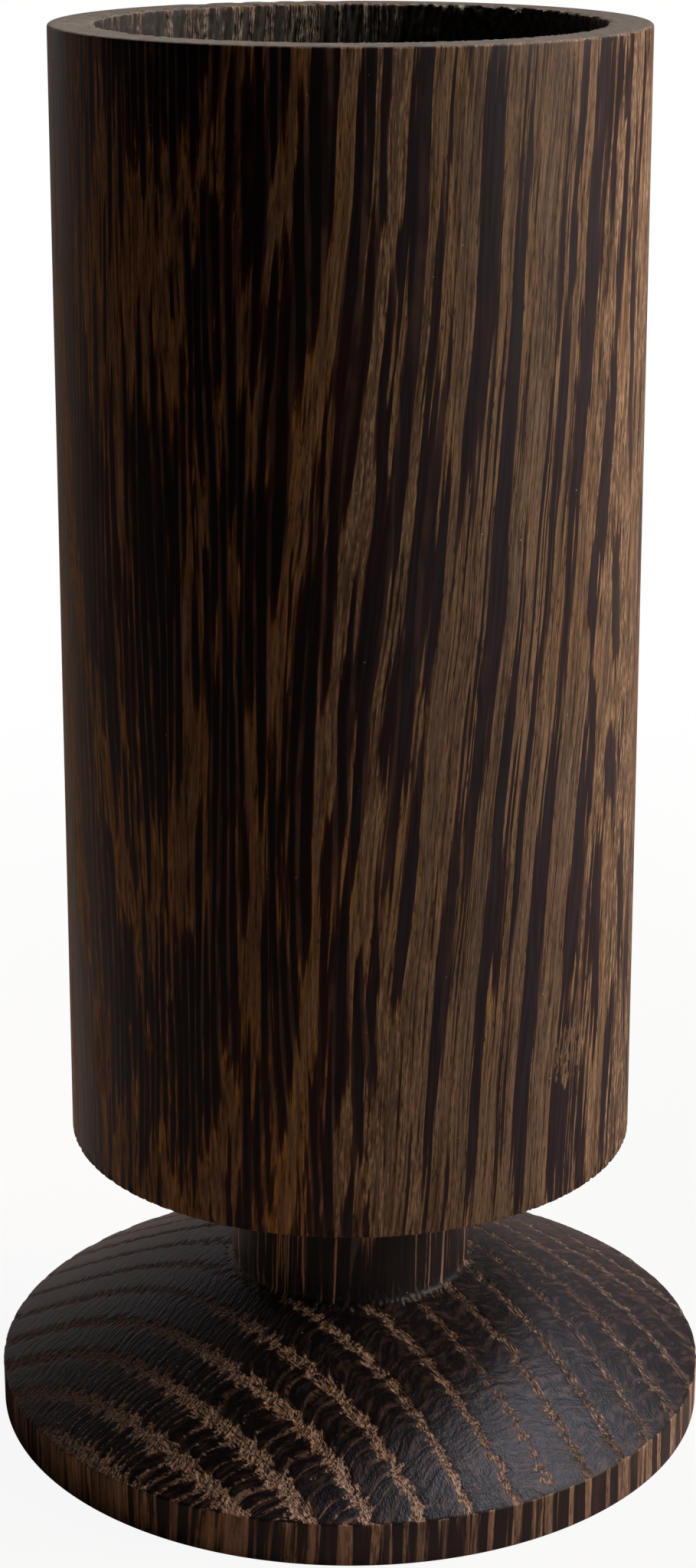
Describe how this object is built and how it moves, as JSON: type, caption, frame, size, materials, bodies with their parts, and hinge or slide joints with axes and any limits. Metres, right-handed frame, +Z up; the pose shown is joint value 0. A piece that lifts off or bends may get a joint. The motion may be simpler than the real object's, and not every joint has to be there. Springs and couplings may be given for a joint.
{
  "type": "wooden vase",
  "caption": "Turned hardwood vase: a tall straight cup with an open well, standing on a low domed foot with a slim neck.",
  "frame": {"origin": "centre of the flat face the foot stands on, on the turning axis", "axes": "+Z up along the turning axis, through the neck to the mouth; +X to the right and +Y away, as seen in the picture"},
  "size_m": [0.1242, 0.1242, 0.239],
  "materials": {
    "cup_wood": "dark striped hardwood, sanded and oiled, satin",
    "foot_wood": "dark striped hardwood, oiled and rubbed, satin"
  },
  "bodies": {
    "root": {"cup": "cup_wood", "foot": "foot_wood"}
  },
  "joints": []
}
